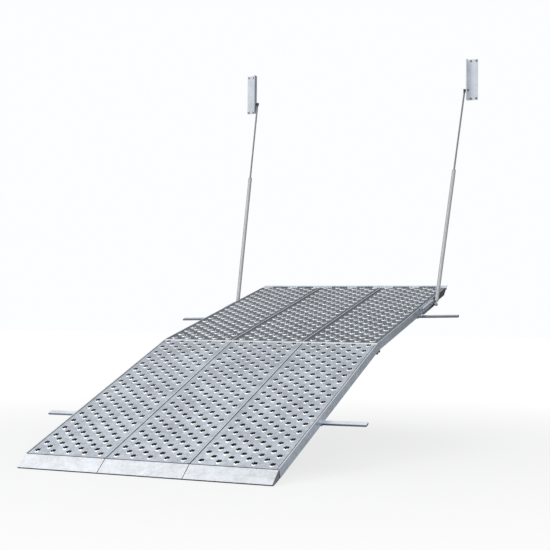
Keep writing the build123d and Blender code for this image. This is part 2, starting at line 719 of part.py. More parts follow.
def foot_stud():
    """Stud that carries the strut's foot: a boss inside the channel, a shank and a cap."""
    block = slab((RAMP_HALF_WIDTH + CHANNEL_WALL, RAMP_HALF_WIDTH + CHANNEL_DEPTH - CHANNEL_WALL),
                 (STRUT_FOOT_S - BOSS_ABOVE, STRUT_FOOT_S + BOSS_BELOW),
                 (-RAIL_DEPTH + CHANNEL_WALL, CHANNEL_TOP - CHANNEL_WALL))
    inside = STRUT_FOOT_X - RAMP_HALF_WIDTH - CHANNEL_WALL - SHANK_INSET
    outside = EYE_WIDTH / 2 + STUD_PLAY
    cap_start = STRUT_FOOT + STRUT_AXIS * outside
    collar_start = STRUT_FOOT - STRUT_AXIS * (outside + STUD_COLLAR)
    shank = round_bar(STRUT_FOOT - STRUT_AXIS * inside, STRUT_AXIS, inside + outside, PIN_RADIUS)
    collar = round_bar(collar_start, STRUT_AXIS, STUD_COLLAR, STUD_COLLAR_RADIUS)
    cap = round_bar(cap_start, STRUT_AXIS, STUD_CAP, STUD_CAP_RADIUS)
    return place(block, UPPER) + shank + collar + cap


def hinge_cheek():
    """Dark steel cheek plate on the side rail beside the sill hinge."""
    outline = [(CHEEK_START, CHEEK_TOP), (CHEEK_END, CHEEK_TOP), (CHEEK_END, CHEEK_BOTTOM),
               (CHEEK_CORNER_S, CHEEK_BOTTOM), (CHEEK_START, CHEEK_CORNER_N)]
    return side_plate(outline, RAMP_HALF_WIDTH, RAMP_HALF_WIDTH + CHEEK_THICKNESS)


# Portal brackets

def bracket_bolt_places():
    """Centres of the four bolts of the right bracket, as (x, z)."""
    middle_x = BRACKET_INNER_X + BRACKET_WIDTH / 2 + BRACKET_BOLT_SHIFT
    middle_z = BRACKET_BOTTOM + BRACKET_HEIGHT / 2
    return [(middle_x + i * BRACKET_BOLT_X / 2, middle_z + j * BRACKET_BOLT_Z / 2)
            for i in (-1, 1) for j in (-1, 1)]


def portal_bracket():
    """Angle plate on the portal post: bolted plate and a flange standing out to the rear."""
    middle_z = BRACKET_BOTTOM + BRACKET_HEIGHT / 2
    plate = Pos(BRACKET_INNER_X + BRACKET_WIDTH / 2, PORTAL_Y - BRACKET_PLATE / 2, middle_z) * Box(
        BRACKET_WIDTH, BRACKET_PLATE, BRACKET_HEIGHT)
    flange = Pos(BRACKET_INNER_X + BRACKET_FLANGE / 2, PORTAL_Y - BRACKET_FLANGE_REACH / 2,
                 middle_z) * Box(BRACKET_FLANGE, BRACKET_FLANGE_REACH, BRACKET_HEIGHT)
    bracket = plate + flange
    for x, z in bracket_bolt_places():
        start = Vector(x, PORTAL_Y - 2 * BRACKET_PLATE, z)
        bracket -= round_bar(start, Vector(0, 1, 0), 3 * BRACKET_PLATE, BOLT_RADIUS + BOLT_SLACK)
    stud_start = Vector(BRACKET_INNER_X - OVERLAP, STRUT_TOP.Y, STRUT_TOP.Z)
    bracket -= round_bar(stud_start, Vector(1, 0, 0), BRACKET_FLANGE + 2 * OVERLAP, PIN_RADIUS)
    return bracket


def hex_bolt(x, z):
    """Hexagon bolt with a washer; its shank stands out behind the bracket."""
    front = PORTAL_Y - BRACKET_PLATE
    into = Vector(0, 1, 0)
    washer = round_bar(Vector(x, front - WASHER_THICKNESS, z), into, WASHER_THICKNESS, WASHER_RADIUS)
    head_plane = Plane(origin=(x, front - WASHER_THICKNESS, z), x_dir=(1, 0, 0), z_dir=(0, -1, 0))
    hexagon = RegularPolygon(HEAD_ACROSS_FLATS / 2, 6, major_radius=False)
    head = extrude(head_plane * hexagon, HEAD_HEIGHT)
    shank_length = BRACKET_PLATE + WASHER_THICKNESS + BOLT_REACH
    shank = round_bar(Vector(x, front - WASHER_THICKNESS, z), into, shank_length, BOLT_RADIUS)
    return washer + head + shank


def rod_stud():
    """Shoulder stud in the bracket flange that the rod's socket belongs on."""
    across = Vector(1, 0, 0)
    tip_x = STRUT_TOP.X + SOCKET_WIDTH / 2 + STUD_TIP_GAP
    outer_x = BRACKET_INNER_X + BRACKET_FLANGE
    collar_x = tip_x + STUD_NOSE
    shank = round_bar(Vector(tip_x, STRUT_TOP.Y, STRUT_TOP.Z), across,
                      outer_x + STUD_TAIL - tip_x, PIN_RADIUS)
    collar = round_bar(Vector(collar_x, STRUT_TOP.Y, STRUT_TOP.Z), across,
                       BRACKET_INNER_X - collar_x, PORTAL_COLLAR_RADIUS)
    nut_plane = Plane(origin=(outer_x, STRUT_TOP.Y, STRUT_TOP.Z), x_dir=(0, 1, 0), z_dir=(1, 0, 0))
    nut = extrude(nut_plane * RegularPolygon(NUT_ACROSS_FLATS / 2, 6, major_radius=False), NUT_HEIGHT)
    return shank + collar + nut


def write(name, shape):
    """Save one node; a list becomes a group of separate solids."""
    if isinstance(shape, list):
        shape = Compound(children=[Compound(item.solids()) for item in shape])
    export_step(Compound(shape.solids()), f"parts/{name}.step")


def section_nodes():
    """Nodes made in section coordinates, as (name, shape, plane)."""
    nodes = []
    for prefix, plane in (("upper", UPPER), ("lower", LOWER)):
        for panel, side in ((-1, "left"), (0, "centre"), (1, "right")):
            nodes.append((f"{prefix}_deck_{side}", deck_sheet(panel), plane))
    upper_rail = side_rail(upper_web_outline(RAIL_DEPTH), UPPER_LEDGE, UPPER_FLANGE)
    lower_rail = side_rail(lower_web_outline(RAIL_DEPTH), LOWER_LEDGE, LOWER_FLANGE)
    for prefix, plane, rail in (("upper", UPPER, upper_rail), ("lower", LOWER, lower_rail)):
        nodes.append((f"{prefix}_side_rail_right", rail, plane))
        nodes.append((f"{prefix}_side_rail_left", mirrored(rail), plane))
    for x, side in ((-PANEL_WIDTH / 2, "left"), (PANEL_WIDTH / 2, "right")):
        upper = divider_rail(x, upper_divider_outline(), UPPER_LEDGE, UPPER_FLANGE)
        lower = divider_rail(x, lower_divider_outline(), LOWER_LEDGE, LOWER_FLANGE)
        nodes.append((f"upper_divider_rail_{side}", upper, UPPER))
        nodes.append((f"lower_divider_rail_{side}", lower, LOWER))
    nodes.append(("upper_cross_members", cross_members(), UPPER))
    nodes.append(("lower_cross_members", cross_members(), LOWER))
    nodes.append(("upper_stringers", stringers((SILL_BEAM_END + STRINGER_SETBACK, FOLD_END)), UPPER))
    nodes.append(("lower_stringers", stringers((FOLD_BEAM_WIDTH, LOWER_FLANGE[1])), LOWER))
    upper_bar = cross_bar(UPPER_BAR_MIDDLE, UPPER_BAR_HALF, UPPER_BAR_SKEW)
    lower_bar = cross_bar(LOWER_BAR_MIDDLE, LOWER_BAR_HALF, LOWER_BAR_SKEW)
    nodes.append(("upper_cross_bar", upper_bar, UPPER))
    nodes.append(("lower_cross_bar", lower_bar, LOWER))
    nodes.append(("upper_bar_straps", bar_straps(UPPER_BAR_MIDDLE, UPPER_BAR_SKEW), UPPER))
    nodes.append(("lower_bar_straps", bar_straps(LOWER_BAR_MIDDLE, LOWER_BAR_SKEW), LOWER))
    nodes.append(("upper_sill_beam", sill_beam(), UPPER))
    nodes.append(("upper_fold_beam", upper_fold_beam(), UPPER))
    nodes.append(("lower_fold_beam", lower_fold_beam(), LOWER))
    nodes.append(("fold_cover_strip", fold_cover_strip(), LOWER))
    for panel, side in ((-1, "left"), (0, "centre"), (1, "right")):
        nodes.append((f"toe_plate_{side}", toe_plate(panel), LOWER))
    for name, shape in (("strut_channel", strut_channel()), ("hinge_cheek", hinge_cheek())):
        nodes.append((f"{name}_right", shape, UPPER))
        nodes.append((f"{name}_left", mirrored(shape), UPPER))
    return nodes


def paired_nodes():
    """Right-hand pieces in the part's frame that have a left-hand twin."""
    bolts = [hex_bolt(x, z) for x, z in bracket_bolt_places()]
    return [
        ("portal_bracket", [portal_bracket()]),
        ("bracket_bolts", bolts),
        ("rod_stud", [rod_stud()]),
        ("foot_stud", [foot_stud()]),
        ("cylinder_tube", [cylinder_tube()]),
        ("cylinder_gland", [cylinder_gland()]),
        ("foot_eye", [foot_eye()]),
        ("piston_rod", [piston_rod()]),
        ("piston", [piston()]),
        ("rod_socket", [rod_socket()]),
    ]


def build_all():
    """Write every node."""
    os.makedirs("parts", exist_ok=True)
    for name, shape, plane in section_nodes():
        if isinstance(shape, list):
            write(name, [place(item, plane) for item in shape])
        else:
            write(name, place(shape, plane))
    for name, shapes in paired_nodes():
        write(f"{name}_right", shapes)
        write(f"{name}_left", [mirrored(item) for item in shapes])
    write("sill_rail", sill_rail())
    write("sill_hinge_pins", sill_hinge_pins())
    write("fold_links", [fold_link(station) for station in HINGE_STATIONS])
    write("fold_pins", [fold_pin(station, index) for station in HINGE_STATIONS for index in (0, 1)])


build_all()
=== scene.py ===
import json
import math
import bmesh
import bpy
import numpy as np
from mathutils import Matrix, Vector


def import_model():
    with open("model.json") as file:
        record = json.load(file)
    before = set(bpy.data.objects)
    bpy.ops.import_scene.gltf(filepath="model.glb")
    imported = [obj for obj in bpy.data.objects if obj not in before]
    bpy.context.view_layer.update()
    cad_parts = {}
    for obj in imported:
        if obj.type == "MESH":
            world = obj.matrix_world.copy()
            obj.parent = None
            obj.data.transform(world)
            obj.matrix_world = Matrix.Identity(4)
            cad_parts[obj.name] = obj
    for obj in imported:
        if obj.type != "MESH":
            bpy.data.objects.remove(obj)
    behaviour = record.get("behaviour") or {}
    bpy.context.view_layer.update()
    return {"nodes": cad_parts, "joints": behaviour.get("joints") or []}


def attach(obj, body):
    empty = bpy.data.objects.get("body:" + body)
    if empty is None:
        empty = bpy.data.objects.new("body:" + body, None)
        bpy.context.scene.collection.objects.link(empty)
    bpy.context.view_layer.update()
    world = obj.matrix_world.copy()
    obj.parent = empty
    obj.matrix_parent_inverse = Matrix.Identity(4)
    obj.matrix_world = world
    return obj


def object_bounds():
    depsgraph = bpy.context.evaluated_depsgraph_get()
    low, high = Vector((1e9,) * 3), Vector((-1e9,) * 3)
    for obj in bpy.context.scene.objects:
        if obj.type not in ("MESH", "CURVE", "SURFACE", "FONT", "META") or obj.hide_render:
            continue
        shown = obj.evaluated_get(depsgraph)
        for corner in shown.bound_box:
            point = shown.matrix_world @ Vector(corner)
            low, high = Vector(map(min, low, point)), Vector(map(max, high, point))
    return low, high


# Looks of the folding loading ramp: materials and fine detail on the CAD frame. Metres and degrees.

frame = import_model()
rng = np.random.default_rng(7)

# Driving dimensions, the same as the CAD model's. On a section x runs across, s down the slope
# from its upper end, and n off the walking surface.

# Sections and panels
PANEL_WIDTH = 0.650
PANELS = {"left": -1, "centre": 0, "right": 1}
PANEL_GROOVE = 0.006
GROOVES = (-PANEL_WIDTH / 2, PANEL_WIDTH / 2)
HALF_WIDTH = 0.975
SECTION_LENGTH = 2.200
UPPER_SLOPE = 13.5
LOWER_SLOPE = 20.8
SLOPES = {"upper": UPPER_SLOPE, "lower": LOWER_SLOPE}
HINGE_DEPTH = 0.014
SHEET_THICKNESS = 0.004

# Grip holes of a panel: rows of five and four in turn
HOLE_RADIUS = 0.019
HOLE_ROWS = 35
HOLES_IN_ROW = (5, 4)
HOLE_PITCH = 0.130
FIRST_ROW = 0.054
ROW_PITCH = 0.0615

# Rails, cross members and the sill
LIP_WIDTH = 0.009
WEB_THICKNESS = 0.006
DIVIDER_WEB = 0.008
RAIL_DEPTH = 0.062
MEMBER_ROWS = (5, 10, 15, 20, 25, 30)
MEMBER_WIDTH = 0.020
MEMBER_TOP = -0.008
MEMBER_BOTTOM = -0.038
HINGE_UNIT = 0.105
UNITS_PER_PANEL = 3
SILL_FACE_Y = -0.010

# Toe and cover strip
TOE_SLOPE = 38.8
TOE_LENGTH = 0.137
TOE_NOSE = 0.009
TOE_LAND = 0.022
TOE_HEEL = 0.032
TOE_END_X = 0.9725
FOLD_STRIP = (0.0015, 0.034)
FOLD_STRIP_TOP = 0.003

# Strut channels, hinge cheeks, struts and portal brackets
CHANNEL = (0.545, 0.915)
CHANNEL_FACE_X = 1.001
CHEEK = (0.096, 0.470)
CHEEK_FACE_X = 0.978
TUBE_RADIUS = 0.018
TUBE_END = 1.368
GLAND_END = 1.371
ROD_RADIUS = 0.0085
BRACKET_INNER_X = 1.142
BRACKET_FLANGE_Y = (0.063, 0.120)
BRACKET_Z = (1.894, 2.300)
STUD_Z = 1.992

# Dimensions of the added detail

# Within this distance of the sill nothing on the deck stands higher than this, for the upright
# deck to clear the sill rail
SILL_CLEAR_END = 0.0365
SILL_CLEAR_HEIGHT = 0.0012

# Beads along the grooves and the side rails' lips, and dark strips of painted shade in and beside
# the grooves and in the lips' corners. Their feet sink into the sheet, and their spans end just
# short of the fold, the cover strip and the toe joint.
SINK = 0.0002
BEAD_RADIUS = 0.0058
BEAD_HEIGHT = 0.0042
BEAD_POINTS = 9
BEAD_SPAN = {"upper": (SILL_CLEAR_END, SECTION_LENGTH - 0.002),
             "lower": (FOLD_STRIP[1] + 0.001, SECTION_LENGTH - 0.005)}
GROOVE_SHADE_GAP = 0.0001
GROOVE_SHADE_HEIGHT = 0.0016
SHADE_BAND = {"upper": 0.0220, "lower": 0.0030}
SHADE_BAND_HEIGHT = 0.0008
CORNER_SHADE = {-1: 0.0050, 1: 0.0110}

# Outline of the strip of painted shade in a rail's corner, as (share of its reach, n)
CORNER_PROFILE = ((0.0, 0.0028), (0.0, -SINK), (1.0, -SINK), (0.6, 0.0007), (0.2, 0.0016))

# Outline of the strip of painted shade in the joint above the toe plates, as (s from the joint, n)
TOE_JOINT_SHADE_PROFILE = ((0.0038, 0.0004), (0.0016, 0.0009), (-0.0014, 0.0010), (-0.0034, 0.0005),
                   (-0.0014, -0.0030), (0.0008, -0.0030))

# Plates in the toe's ends: how far inside its outline, and how deep their two faces lie
TOE_CAP_INSET = 0.0012
TOE_CAP_DEPTHS = (0.0016, 0.0003)

# Rivets: radius and height of a head, and how far a row's first and last stand from the ends
STRIP_RIVET = (0.0048, 0.0011)
STRIP_RIVETS = 15
STRIP_MARGIN = 0.065
CHANNEL_RIVET = (0.0062, 0.0028)
CHANNEL_RIVETS = 4
CHANNEL_MARGINS = (0.055, 0.030)
CHANNEL_RIVET_N = -0.017
CHEEK_RIVET = (0.0055, 0.0026)
CHEEK_MARGINS = (0.030, 0.022)
CHEEK_RIVET_ROWS = (-0.015, -0.049)
RIVET_STEPS = 16

# Outline of a rivet's head, as shares of its radius and height
RIVET_PROFILE = ((1.0, 0.25), (0.86, 0.66), (0.56, 0.92), (0.22, 1.0))
RIVET_SINK = 0.0005

# Weld beads: radii, how far they stop below the member's top, rings and sides of their mesh,
# end taper, ripples in turn and their unevenness
FOOT_WELD = 0.0032
SIDE_WELD = 0.0028
WELD_STOP = 0.004
WELD_RINGS = 12
WELD_SIDES = 8
WELD_TAPER = 0.04
WELD_RIPPLE = (-0.10, 0.14)
WELD_UNEVEN = 0.05

# Half outline of a flat strip on a face, as (height off the face, inset from the end)
GAP_SHADE_PROFILE = ((-0.0010, 0.0), (0.0010, 0.0), (0.0016, 0.0012))
# The sill rail's strips of painted shade reach this far below and above the deck's edge
GAP_SHADE_BELOW = 0.004
GAP_SHADE_ABOVE = 0.006
# The bracket flanges' strips of painted shade
FLANGE_SHADE_PROFILE = ((-0.0005, 0.0), (0.0012, 0.0006), (0.0018, 0.0020))
FLANGE_SHADE_SIDE_MARGIN = 0.003
FLANGE_SHADE_END_MARGIN = 0.006
FLANGE_SHADE_STUD_GAP = 0.020

# Rolled rings on the tubes, as (rise off the tube, height), and their places along it
RING_PROFILE = ((0.0, -0.0022), (0.0009, -0.0014), (0.0009, 0.0014), (0.0, 0.0022))
RING_PLACES = (0.046, 0.054, TUBE_END - 0.034, TUBE_END - 0.010)

# Outside of the rod wipers, as (radius, height above the gland)
WIPER_PROFILE = ((0.0150, 0.0), (0.0154, 0.0016), (0.0130, 0.0040), (0.0104, 0.0052))
WIPER_CLEARANCE = 0.0004

joints = {joint["name"]: joint for joint in frame["joints"]}


def slope_matrix(origin, slope):
    """Section coordinates to the row frame: x across, y up the slope, z off the walking surface."""
    return Matrix.Translation(origin) @ Matrix.Rotation(math.radians(slope), 4, "X")


hinge_point = Vector(joints["ramp_lift"]["pos_m"])
UPPER = slope_matrix(hinge_point, UPPER_SLOPE) @ Matrix.Translation((0, 0, HINGE_DEPTH))
LOWER = slope_matrix(UPPER @ Vector((0, -SECTION_LENGTH, 0)), LOWER_SLOPE)
SECTIONS = {"upper": UPPER, "lower": LOWER}


# Meshes. A shape is a pair: an array of points and a list of faces.

# Edges sharper than this many degrees are not shaded smooth
SHARP_ANGLE = 35


def mesh_object(name, shape, matrix=Matrix(), smooth=True, closed=False):
    """A mesh object from a shape, carried into the row frame; closed shapes get their faces outwards."""
    points, faces = shape
    mesh = bpy.data.meshes.new(name)
    mesh.from_pydata([tuple(p) for p in points], [], [tuple(f) for f in faces])
    mesh.transform(matrix)
    if closed:
        turned = bmesh.new()
        turned.from_mesh(mesh)
        bmesh.ops.recalc_face_normals(turned, faces=turned.faces)
        turned.to_mesh(mesh)
        turned.free()
    mesh.update()
    if smooth:
        mesh.shade_smooth()
        mesh.set_sharp_from_angle(angle=math.radians(SHARP_ANGLE))
    piece = bpy.data.objects.new(name, mesh)
    bpy.context.scene.collection.objects.link(piece)
    return piece


def detail(name, shapes, matrix, body, material, slot):
    """A detail piece made of several shapes, riding on one body."""
    piece = mesh_object(name, joined(shapes), matrix, closed=True)
    piece.data.materials.append(material)
    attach(piece, body)


def joined(shapes):
    """Several shapes as one."""
    points = []
    faces = []
    count = 0
    for shape_points, shape_faces in shapes:
        points.append(shape_points)
        faces += [tuple(index + count for index in face) for face in shape_faces]
        count += len(shape_points)
    return np.vstack(points), faces


def moved(shape, matrix):
    """A shape carried by a matrix."""
    points, faces = shape
    turn = np.array(matrix.to_3x3())
    return points @ turn.T + np.array(matrix.translation), faces


def rings_to_shape(rings, loop=False):
    """A closed skin over rings of equally many points, with flat ends or joined into a loop."""
    count = len(rings[0])
    faces = []
    for ring in range(len(rings) if loop else len(rings) - 1):
        this = ring * count
        following = (ring + 1) % len(rings) * count
        for step in range(count):
            turn = (step + 1) % count
            faces.append((this + step, this + turn, following + turn, following + step))
    if not loop:
        last = (len(rings) - 1) * count
        faces.append(tuple(range(count - 1, -1, -1)))
        faces.append(tuple(range(last, last + count)))
    return np.vstack(rings), faces


def lathe(profile, steps=24, loop=False):
    """A turned piece about z from (radius, height) pairs; in a loop it has a bore."""
    turns = np.linspace(0, 2 * math.pi, steps, endpoint=False)
    return rings_to_shape([
        np.column_stack([radius * np.cos(turns), radius * np.sin(turns), np.full(steps, height)])
        for radius, height in profile], loop)


def lengthwise(profile, start, end):
    """A bar along a section from one s to another, with an (x, n) outline."""
    rings = [np.array([(x, -s, n) for x, n in profile]) for s in (start, end)]
    return rings_to_shape(rings)


def crosswise(profile, start, end):
    """A bar across a section from one x to another, with an (s, n) outline."""
    rings = [np.array([(x, -s, n) for s, n in profile]) for x in (start, end)]
    return rings_to_shape(rings)


def half_round(centre, base, radius, height):
    """Outline of a low crowned bead standing on a surface."""
    return [(centre + radius * math.cos(turn), base + height * math.sin(turn))
            for turn in np.linspace(0, math.pi, BEAD_POINTS)]


def strip_outline(face, outward, first, last, profile):
    """Outline of a flat strip on a face, from its half outline at each end."""
    inward = math.copysign(1, last - first)
    over = [(face + outward * height, last - inward * inset) for height, inset in profile]
    back = [(face + outward * height, first + inward * inset) for height, inset in reversed(profile)]
    return over + back


def weld_bead(start, end, radius):
    """A rippled bead between two points, thin at both ends."""
    start = np.array(start)
    along = np.array(end) - start
    aslant = (0.3, 0.5, 0.8)
    side = np.cross(along, aslant)
    side = side / np.linalg.norm(side)
    up = np.cross(along, side)
    up = up / np.linalg.norm(up)
    turns = np.linspace(0, 2 * math.pi, WELD_SIDES, endpoint=False)
    rings = []
    for index, share in enumerate(np.linspace(0, 1, WELD_RINGS)):
        swell = math.sin(math.pi * (WELD_TAPER + (1 - 2 * WELD_TAPER) * share))
        ripple = 1.0 + WELD_RIPPLE[index % 2] + rng.uniform(-WELD_UNEVEN, WELD_UNEVEN)
        reach = radius * math.sqrt(swell) * ripple
        rings.append(start + along * share + reach * (
            np.outer(np.cos(turns), side) + np.outer(np.sin(turns), up)))
    return rings_to_shape(rings)


def rivet(radius, height):
    """A low domed rivet head about z, standing on z = 0."""
    head = [(radius * across, height * up) for across, up in RIVET_PROFILE]
    return lathe([(radius, -RIVET_SINK)] + head, RIVET_STEPS)


def hole_centres():
    """Places of the grip holes on one panel, and the number of each one's column."""
    places = []
    columns = []
    for row in range(HOLE_ROWS):
        count = HOLES_IN_ROW[row % 2]
        for column in range(count):
            places.append(((column - (count - 1) / 2) * HOLE_PITCH, -(FIRST_ROW + row * ROW_PITCH)))
            columns.append(2 * column + row % 2)
    return np.array(places), np.array(columns)


# Raised grip collars: a cone pressed up round each hole, its rim split into teeth

COLLAR_TEETH = 6
COLLAR_STEPS = 6 * COLLAR_TEETH
COLLAR_HEIGHT = {"upper": 0.0098, "lower": 0.0068}
COLLAR_BASE = {"upper": 0.0310, "lower": 0.0295}
COLLAR_RIM = 0.0222
COLLAR_WALL = 0.0014
COLLAR_TURN = 0.09
COLLAR_SCALE = (0.90, 1.05)
TOOTH_DEPTH = 0.0034
TOOTH_SPREAD = 0.0020
TOOTH_SHARPNESS = 1.4
THROAT_RADIUS = HOLE_RADIUS - 0.0003
THROAT_DEPTH = 0.0130

# Wear and painted highlight of a collar's points: up to 1 at the teeth's tips. Inside the throat they
# take this mark instead, which picks the throat's painted shade and painted light
THROAT_SHADE_MARK = -1.0

# Painted light in the hole throats: how much light is painted as coming up through the holes of
# each panel and of each third column, and how much it differs from hole to hole
PAINTED_LIGHT_THROUGH = {"left": 0.6, "centre": 0.3, "right": 0.2}
PAINTED_COLUMN_LIGHT = (0.0, 0.2, 1.0)
PAINTED_LIGHT_SPREAD = (0.5, 1.1)


def collar_profile(section):
    """Rings of one collar as (radius, height, share of the tooth), from the base to the throat."""
    base = COLLAR_BASE[section]
    top = COLLAR_HEIGHT[section]
    return [
        (base, 0.0, 0.0),
        (base - 0.0018, 0.0009, 0.0),
        (COLLAR_RIM + 0.0036, top * 0.52, 0.15),
        (COLLAR_RIM + 0.0016, top * 0.86, 0.75),
        (COLLAR_RIM, top, 1.0),
        (COLLAR_RIM - COLLAR_WALL, top - 0.0004, 1.0),
        (COLLAR_RIM - COLLAR_WALL + 0.0006, 0.0020, 0.1),
        (THROAT_RADIUS, -0.0040, 0.0),
        (THROAT_RADIUS, -THROAT_DEPTH, 0.0),
    ]


def collar_template(section):
    """Points and faces of one collar round the origin, and how worn each point is."""
    turns = np.linspace(0, 2 * math.pi, COLLAR_STEPS, endpoint=False)
    valley = (0.5 - 0.5 * np.cos(turns * COLLAR_TEETH)) ** TOOTH_SHARPNESS
    rings = []
    wear = []
    profile = collar_profile(section)
    lip = max(range(len(profile)), key=lambda ring: profile[ring][1])
    for ring, (radius, height, cut) in enumerate(profile):
        z = height - cut * TOOTH_DEPTH * valley
        reach = radius + cut * TOOTH_SPREAD * valley
        rings.append(np.column_stack([reach * np.cos(turns), reach * np.sin(turns), z]))
        # Below the lip, throat points take the mark for painted shade and painted light; the rest take
        # wear and painted highlight by height
        if ring > lip + 1:
            wear.append(np.full(COLLAR_STEPS, THROAT_SHADE_MARK))
        else:
            wear.append(np.clip(z / COLLAR_HEIGHT[section], 0, 1))
    points, faces = rings_to_shape(rings)
    return points, np.array(faces[:-2]), np.concatenate(wear)


def collars(section, side, material):
    """All the collars of one panel as one piece, pressed flat where the upright deck nears the sill."""
    points, faces, wear = collar_template(section)
    places, columns = hole_centres()
    count = len(points)
    all_points = []
    for x, y in places:
        turn = rng.uniform(-COLLAR_TURN, COLLAR_TURN)
        scale = rng.uniform(*COLLAR_SCALE)
        c, s = math.cos(turn), math.sin(turn)
        turned = points @ np.array([[c, s, 0], [-s, c, 0], [0, 0, 1]])
        turned[:, 2] *= scale
        if section == "upper":
            beside_sill = turned[:, 1] + y > -SILL_CLEAR_END
            turned[beside_sill, 2] = np.minimum(turned[beside_sill, 2], SILL_CLEAR_HEIGHT)
        all_points.append(turned + (PANELS[side] * PANEL_WIDTH + x, y, 0))
    all_faces = np.vstack([faces + index * count for index in range(len(places))])
    shape = (np.vstack(all_points), all_faces)
    piece = mesh_object(f"{section}_collars_{side}", shape, SECTIONS[section])
    # Painted light in the throats: a share for each panel and each third column, varied from hole to
    # hole
    through = PAINTED_LIGHT_THROUGH[side] * np.array(PAINTED_COLUMN_LIGHT)[columns % len(PAINTED_COLUMN_LIGHT)]
    through = np.clip(through * rng.uniform(*PAINTED_LIGHT_SPREAD, len(places)), 0, 1)
    for name, values in (("wear", np.tile(wear, len(places))), ("through", np.repeat(through, count))):
        layer = piece.data.attributes.new(name, "FLOAT", "POINT")
        layer.data.foreach_set("value", values.astype(np.float32))
    piece.data.materials.append(material)
    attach(piece, f"{section}_section")


# Materials

class Nodes:
    """Short calls for building one material's nodes."""

    def __init__(self, name):
        self.material = bpy.data.materials.new(name)
        self.material.use_nodes = True
        self.tree = self.material.node_tree
        self.shader = self.tree.nodes["Principled BSDF"]

    def add(self, kind, inputs=None, **settings):
        """A node, with settings, and input sockets by name as values or links."""
        node = self.tree.nodes.new(kind)
        for key, value in settings.items():
            setattr(node, key, value)
        for key, value in (inputs or {}).items():
            self.feed(node.inputs[key], value)
        return node

    def feed(self, socket, value):
        """Link an output to a socket, or set its value."""
        if isinstance(value, bpy.types.NodeSocket):
            self.tree.links.new(value, socket)
        else:
            socket.default_value = value

    def noise(self, vector, scale, detail=4.0, rough=0.55):
        """Fractal noise between 0 and 1."""
        node = self.add("ShaderNodeTexNoise", inputs={
            "Vector": vector, "Scale": scale, "Detail": detail, "Roughness": rough})
        return node.outputs["Fac"]

    def ramp(self, value, low, high):
        """A value carried from low..high to 0..1 and clamped."""
        node = self.add("ShaderNodeMapRange", clamp=True, inputs={
            "Value": value, "From Min": low, "From Max": high})
        return node.outputs["Result"]

    def patches(self, place, scale, low, high, detail=4.0, rough=0.55):
        """Soft-edged patches between 0 and 1: noise carried from low..high."""
        return self.ramp(self.noise(place, scale, detail, rough), low, high)

    def mix(self, factor, first, second):
        """A blend of two colours."""
        node = self.add("ShaderNodeMix", data_type="RGBA")
        self.feed(node.inputs["Factor"], factor)
        self.feed(node.inputs["A"], first)
        self.feed(node.inputs["B"], second)
        return node.outputs["Result"]

    def calculate(self, operation, first, second):
        """One arithmetic step."""
        node = self.add("ShaderNodeMath", operation=operation)
        self.feed(node.inputs[0], first)
        self.feed(node.inputs[1], second)
        return node.outputs["Value"]

    def plus(self, first, second):
        """A sum."""
        return self.calculate("ADD", first, second)

    def times(self, first, second):
        """A product."""
        return self.calculate("MULTIPLY", first, second)

    def dot(self, first, second):
        """The dot product of two vectors."""
        node = self.add("ShaderNodeVectorMath", operation="DOT_PRODUCT")
        self.feed(node.inputs[0], first)
        self.feed(node.inputs[1], second)
        return node.outputs["Value"]

    def place(self, slope=0.0, stretch=(1, 1, 1)):
        """Object coordinates turned to lie along a slope, and stretched."""
        coordinates = self.add("ShaderNodeTexCoord").outputs["Object"]
        node = self.add("ShaderNodeMapping", inputs={
            "Vector": coordinates, "Rotation": (-math.radians(slope), 0, 0), "Scale": stretch})
        return node.outputs["Vector"]

    def attribute(self, name):
        """A number stored on the mesh's points."""
        return self.add("ShaderNodeAttribute", attribute_name=name).outputs["Fac"]

    def rubbed_edges(self, place, radius=0.0025):
        """1 on outer edges that touch and wear first, broken up by noise."""
        normal = self.add("ShaderNodeNewGeometry").outputs["Normal"]
        bevel = self.add("ShaderNodeBevel", samples=4, inputs={"Radius": radius}).outputs["Normal"]
        edge = self.ramp(self.dot(normal, bevel), low=0.995, high=0.86)
        return self.times(edge, self.patches(place, scale=30.0, low=0.30, high=0.55))

    def facing_up(self, slope):
        """1 on faces that lie along a slope's walking surface, 0 on sides and undersides."""
        normal = self.add("ShaderNodeTexCoord").outputs["Normal"]
        tilt = math.radians(slope)
        upright = (0, -math.sin(tilt), math.cos(tilt))
        return self.ramp(self.dot(normal, upright), low=0.55, high=0.85)

    def finish(self, colour, roughness, height=None, bump=0.0, distance=0.0, metallic=1.0):
        """Join colour, roughness and relief to the shader."""
        self.feed(self.shader.inputs["Base Color"], colour)
        self.feed(self.shader.inputs["Roughness"], roughness)
        self.shader.inputs["Metallic"].default_value = metallic
        if height is not None:
            node = self.add("ShaderNodeBump", inputs={
                "Height": height, "Strength": bump, "Distance": distance})
            self.tree.links.new(node.outputs["Normal"], self.shader.inputs["Normal"])
        return self.material


# How far the greys lean towards blue, how much blue gains for what red loses, the lightest grey
# a bare metal may reach, and the grey of its rubbed edges
BLUE_LEAN = 0.065
BLUE_GAIN = 1.4
LIGHTEST = 0.93
RUBBED = 0.88

# The large blotches, the same on the sheets and on their collars
BLOTCHES = {"scale": 3.2, "low": 0.32, "high": 0.68, "detail": 5.0, "rough": 0.6}

# Colours painted in a hole's throat: painted shade for the dark under the deck, painted light for the
# lit ground
UNDER_DECK_PAINTED_SHADE = (0.035, 0.035, 0.035, 1)
PAINTED_GROUND_LIGHT = (0.17, 0.155, 0.14, 1)

# Painted shade where it is deepest and where it is palest
DEEPEST_PAINTED_SHADE = (0.040, 0.044, 0.052, 1)
PALEST_PAINTED_SHADE = (0.105, 0.112, 0.130, 1)

# Stretch of the metal's grain, along the ramp or across it
LENGTHWAYS = (9, 1, 9)
CROSSWAYS = (1, 9, 9)


def grey(value, blue=BLUE_LEAN):
    """A near-grey colour, a little towards blue."""
    return (value * (1 - blue), value, value * (1 + BLUE_GAIN * blue), 1)


